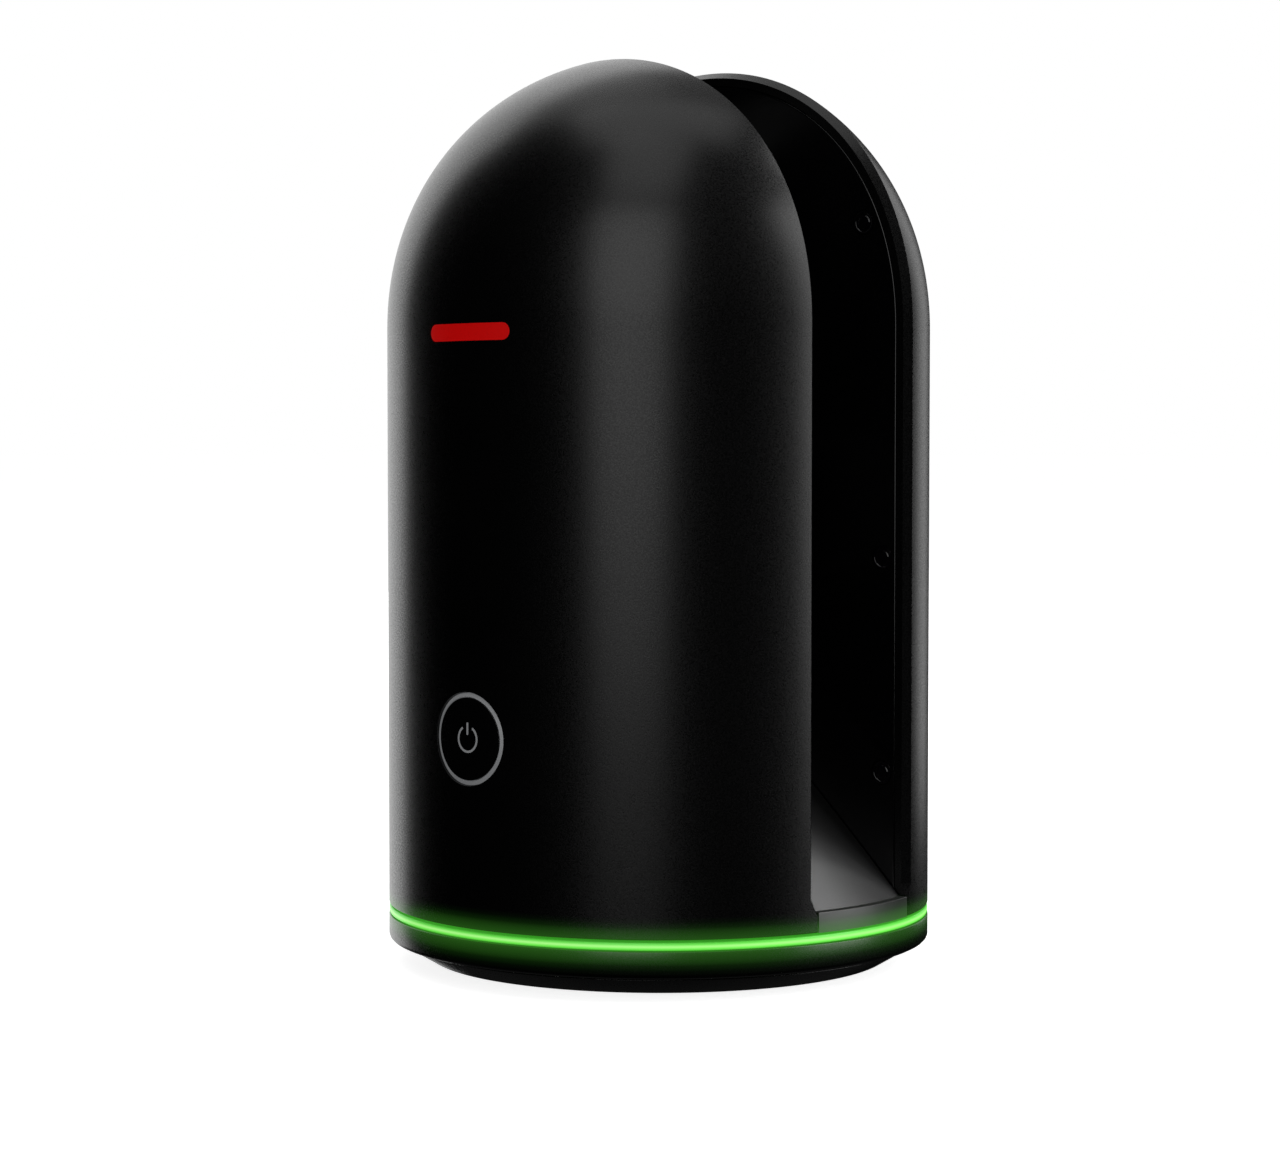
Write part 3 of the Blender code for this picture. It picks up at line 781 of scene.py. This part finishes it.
def symbol_outlines():
    """The broken circle and the bar of the usual power symbol, as (x, z) outlines."""
    outer, inner, gap = 2.42, 2.02, math.radians(31)
    steps = 48
    turns = [math.pi / 2 + gap + (2 * math.pi - 2 * gap) * i / steps for i in range(steps + 1)]
    arc = [(outer * math.cos(turn), outer * math.sin(turn)) for turn in turns]
    arc += [(inner * math.cos(turn), inner * math.sin(turn)) for turn in turns[::-1]]
    circle = [(x, BUTTON_Z + z) for x, z in arc]
    bar = rounded_box(0.22, BUTTON_Z + 0.7, BUTTON_Z + 2.9, 0.2, 6)
    return [circle, bar]


def make_accent():
    """The plain red bar with round ends on the front shell."""
    low, high = ACCENT_Z - ACCENT_HALF_HEIGHT, ACCENT_Z + ACCENT_HALF_HEIGHT
    outline = rounded_box(ACCENT_HALF_WIDTH, low, high, ACCENT_HALF_HEIGHT * 0.98, 16)
    bar = wrapped("accent_bar", outline, 49.6, 50.03, -1)
    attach(dress(bar, "accent"), "head")


def make_rear_shell():
    shell = make_shell("rear", 1)
    opening = rounded_box(
        DOOR_HALF_WIDTH + GAP, DOOR_LOW_Z - HINGE_GAP, DOOR_HIGH_Z + GAP, 3.3
    )
    notch = rounded_box(KNUCKLE_HALF + GAP, HINGE_Z - 2.3, DOOR_LOW_Z + 1, 0.4, 3)
    at = (0, HINGE_Y, HINGE_Z)
    carve(shell, prism("opening", opening, 30, 60, along="Y"))
    carve(shell, prism("notch", notch, 40, 60, along="Y"))
    carve(shell, rod("pin_hole", 0.9, -10.2, 10.2, at=at, along="X", segments=24))
    stand_for(shade_cleanly(shell), "rear_shell", "shell_metal")


def make_battery_door():
    """The curved door with its hinge knuckle, and the latch with its finger ridges."""
    at = (0, HINGE_Y, HINGE_Z)
    outline = rounded_box(DOOR_HALF_WIDTH, DOOR_LOW_Z, DOOR_HIGH_Z, 3)
    door = wrapped("door", outline, BODY_R - WALL, BODY_R, 1)
    carve(
        door,
        rod("knuckle", 1.4, -KNUCKLE_HALF, KNUCKLE_HALF, at=at, along="X"),
        block("web", (-KNUCKLE_HALF, 47.4, HINGE_Z), (KNUCKLE_HALF, 49.0, DOOR_LOW_Z + 0.6)),
        how="UNION",
    )
    carve(door, rod("bore", 0.9, -20, 20, at=at, along="X", segments=24))
    carve(door, prism("latch_room", rounded_box(5.2, 60.5, 67.5, 0.8), 30, 60, along="Y"))
    stand_for(shade_cleanly(door), "battery_door", "shell_metal")

    face = rounded_box(4.9, 62.9, 67.2, 0.6)
    latch = prism("latch", face, 45.8, 60, along="Y")
    carve(latch, rod("round", BODY_R - 0.1, 50, 80, segments=ROUND), how="INTERSECT")
    ridges = [
        block("valley", (-3.9, 49.4, z), (3.9, 52, z + 0.35)) for z in (63.9, 64.6, 65.3, 66.0)
    ]
    carve(latch, *ridges)
    carve(latch, block("flange", (-7, 44.6, 61.5), (7, 46.1, 68.6)), how="UNION")
    stand_for(latch, "door_latch", "inner_plastic")


def rounded_panel(name, side):
    """A panel whose edge towards the slot is rounded like polished glass."""
    layers = [(slot_outline(PANEL_INSET, 13.9), side * (SLOT_HALF + PANEL_THICK))]
    for i in range(7):
        angle = math.pi / 2 * i / 6
        inset = PANEL_INSET + PANEL_EDGE * (1 - math.cos(angle))
        depth = PANEL_EDGE * (1 - math.sin(angle))
        layers.append((slot_outline(inset, 13.9), side * (SLOT_HALF + depth)))
    return lofted(name, layers)


def make_panels():
    """The glossy slot walls, whose polished edges catch the light."""
    at = (0, 0, MIRROR_Z)
    front = rounded_panel("front", -1)
    carve(front, rod("window_hole", 11.5, -20, -10, at=at, along="Y", segments=128))
    stand_for(shade_cleanly(front), "front_panel", "gloss_panel")
    rear = rounded_panel("rear", 1)
    carve(rear, rod("shaft_hole", 7.9, 10, 20, at=at, along="Y"))
    for x, z in CAMERA_PLACES:
        carve(rear, rod("camera_hole", 2.3, 10, 20, at=(x, 0, z), along="Y"))
    stand_for(shade_cleanly(rear), "rear_panel", "gloss_panel")


def make_optics():
    """The laser window and the three camera windows with their lens rings."""
    window = [(0, -14.6), (11.2, -14.6), (11.2, -12.95, 1), (10.2, -12.95, 1)]
    window += [(10.0, -13.15, 1), (0, -13.15)]
    made = turned(
        "window", softened(window, 0.15), at=(0, 0, MIRROR_Z), along="Y", segments=128
    )
    stand_for(made, "laser_window", "lens_glass")
    lens = [(0, 13.7), (2.15, 13.7), (2.15, 12.95, 1), (1.75, 12.95, 1), (1.6, 13.15)]
    lens += [(1.3, 13.15), (1.15, 13.02), (0.9, 12.98), (0.55, 12.96), (0, 12.95)]
    for i, (x, z) in enumerate(CAMERA_PLACES):
        made = turned("lens", softened(lens, 0.1), at=(x, 0, z), along="Y")
        stand_for(made, f"camera_window_{i + 1}", "lens_glass")


def make_mirror():
    """The scanning mirror and its carrier, cut at 45 degrees."""
    at = (0, 0, MIRROR_Z)
    reach, far = 11.5, 40

    def slab(low, high):
        corners = [(low - far, -far), (high - far, -far), (high + far, far), (low + far, far)]
        return prism("slab", corners, MIRROR_Z - 30, MIRROR_Z + 30)

    body = [(0, -reach), (16, -reach, 1), (16, reach, 1), (0, reach)]
    carrier = turned("carrier", softened(body, 0.5), at=at, along="Y", segments=128)
    carve(carrier, slab(-60, -1.8), how="INTERSECT")
    stand_for(carrier, "mirror_carrier", "inner_metal")
    mirror = rod("glass", 15, -reach, reach, at=at, along="Y", segments=128)
    carve(mirror, slab(-1.3, 1.2), how="INTERSECT")
    stand_for(mirror, "scan_mirror", "mirror")


def dress_cad_nodes():
    """Gives every CAD node the procedural material of its slot in the record."""
    slots = {part["node"]: part["material_slot"] for part in frame["record"]["subparts"]}
    for name, node in frame["nodes"].items():
        node.data.materials.clear()
        node.data.materials.append(FINISHES[slots[name]])
        smooth(node)


# ------------------------------------------------------- floor, lights, camera


def add_floor():
    """A floor that looks white, a little greyer near the foot from painted shade and the lamps' real
    shadow, and casts no reflections.
    """
    bm = bmesh.new()
    bmesh.ops.create_grid(bm, x_segments=1, y_segments=1, size=20000)
    floor = as_object("floor", bm)
    floor.location.z = -0.0002
    material = bpy.data.materials.new("floor")
    material.use_nodes = True
    shader = material.node_tree.nodes["Principled BSDF"]
    shader.inputs["Base Color"].default_value = (0.9, 0.9, 0.9, 1)
    shader.inputs["Roughness"].default_value = 0.9
    shader.inputs["Emission Color"].default_value = (1, 1, 1, 1)
    links, nodes = material.node_tree.links, material.node_tree.nodes
    # Painted shade: the emission is weaker near the foot, so the floor is a little greyer there on top
    # of the lamps' real shadow.
    reach = nodes.new("ShaderNodeVectorMath")
    reach.operation = "LENGTH"
    painted_foot_shade = nodes.new("ShaderNodeMapRange")
    painted_foot_shade.inputs["From Min"].default_value = 0.1
    painted_foot_shade.inputs["From Max"].default_value = 0.6
    painted_foot_shade.inputs["To Min"].default_value = 0.86
    painted_foot_shade.inputs["To Max"].default_value = 1.0
    links.new(nodes.new("ShaderNodeTexCoord").outputs["Object"], reach.inputs[0])
    links.new(reach.outputs["Value"], painted_foot_shade.inputs["Value"])
    links.new(painted_foot_shade.outputs["Result"], shader.inputs["Emission Strength"])
    floor.data.materials.append(material)
    floor.visible_glossy = False
    floor.visible_diffuse = False
    floor.visible_shadow = False


def add_world():
    """White where the camera sees it, and nearly dark for the light that reaches the object."""
    world = bpy.data.worlds.new("studio")
    world.use_nodes = True
    nodes, links = world.node_tree.nodes, world.node_tree.links
    path = nodes.new("ShaderNodeLightPath")
    mix = nodes.new("ShaderNodeMixShader")
    dim, white = nodes["Background"], nodes.new("ShaderNodeBackground")
    dim.inputs["Color"].default_value = (0.9, 0.95, 1, 1)
    dim.inputs["Strength"].default_value = 0.002
    white.inputs["Color"].default_value = (1, 1, 1, 1)
    links.new(path.outputs["Is Camera Ray"], mix.inputs["Fac"])
    links.new(dim.outputs["Background"], mix.inputs[1])
    links.new(white.outputs["Background"], mix.inputs[2])
    links.new(mix.outputs["Shader"], nodes["World Output"].inputs["Surface"])
    bpy.context.scene.world = world


def softbox(name, turn, rise, distance, width, height, radiance):
    """A large soft light. Turn is its angle from the camera's side, positive to the right."""
    data = bpy.data.lights.new(name, "AREA")
    data.shape = "RECTANGLE"
    data.size, data.size_y = width, height
    data.energy = radiance * math.pi * width * height
    light = bpy.data.objects.new(name, data)
    bpy.context.scene.collection.objects.link(light)
    around = math.radians(turn) - CAMERA_ANGLE
    up = math.radians(rise)
    middle = Vector((0, 0, 0.085))
    direction = Vector(
        (math.cos(around) * math.cos(up), math.sin(around) * math.cos(up), math.sin(up))
    )
    light.location = middle + direction * distance
    light.rotation_euler = direction.to_track_quat("Z", "Y").to_euler()


def add_lights():
    softbox("left_back", -157.5, 14, 1.3, 1.26, 1.9, 1.25)
    softbox("top_left", -150, 62, 1.4, 0.7, 0.6, 0.35)
    softbox("top_back", 180, 56, 1.4, 1.0, 0.8, 0.24)
    softbox("top", 180, 87, 1.4, 1.1, 0.6, 0.85)
    softbox("front", -12, 21, 1.5, 0.84, 1.4, 1.45)
    softbox("front_top", -10, 66, 1.4, 0.65, 0.75, 0.95)
    softbox("right_side", 80, 18, 1.4, 0.9, 1.3, 2.7)
    softbox("right_top", 102, 44, 1.4, 0.5, 0.6, 4.0)
    softbox("right_back", 147, 21, 1.4, 0.42, 1.6, 0.85)
    softbox("below", 180, -50, 1.2, 1.5, 0.8, 0.02)


def add_camera():
    data = bpy.data.cameras.new("camera")
    data.lens = CAMERA_LENS
    data.sensor_width = 36
    camera = bpy.data.objects.new("camera", data)
    bpy.context.scene.collection.objects.link(camera)
    across, away = math.cos(CAMERA_ANGLE), math.sin(CAMERA_ANGLE)
    place = (CAMERA_DISTANCE * across, -CAMERA_DISTANCE * away, CAMERA_HEIGHT)
    camera.location = [MM * value for value in place]
    ahead, aside = math.cos(CAMERA_YAW), math.sin(CAMERA_YAW)
    level = Vector((aside * away - ahead * across, aside * across + ahead * away, 0))
    down = Vector((0, 0, -math.sin(CAMERA_PITCH)))
    direction = level * math.cos(CAMERA_PITCH) + down
    camera.rotation_euler = direction.to_track_quat("-Z", "Y").to_euler()
    bpy.context.scene.camera = camera


FINISHES = make_finishes()
dress_cad_nodes()
make_base()
make_fasteners()
make_slot_floor()
make_front_shell()
make_button()
make_accent()
make_rear_shell()
make_battery_door()
make_panels()
make_optics()
make_mirror()
add_floor()
add_world()
add_lights()
add_camera()
bpy.context.scene.view_settings.view_transform = "Standard"
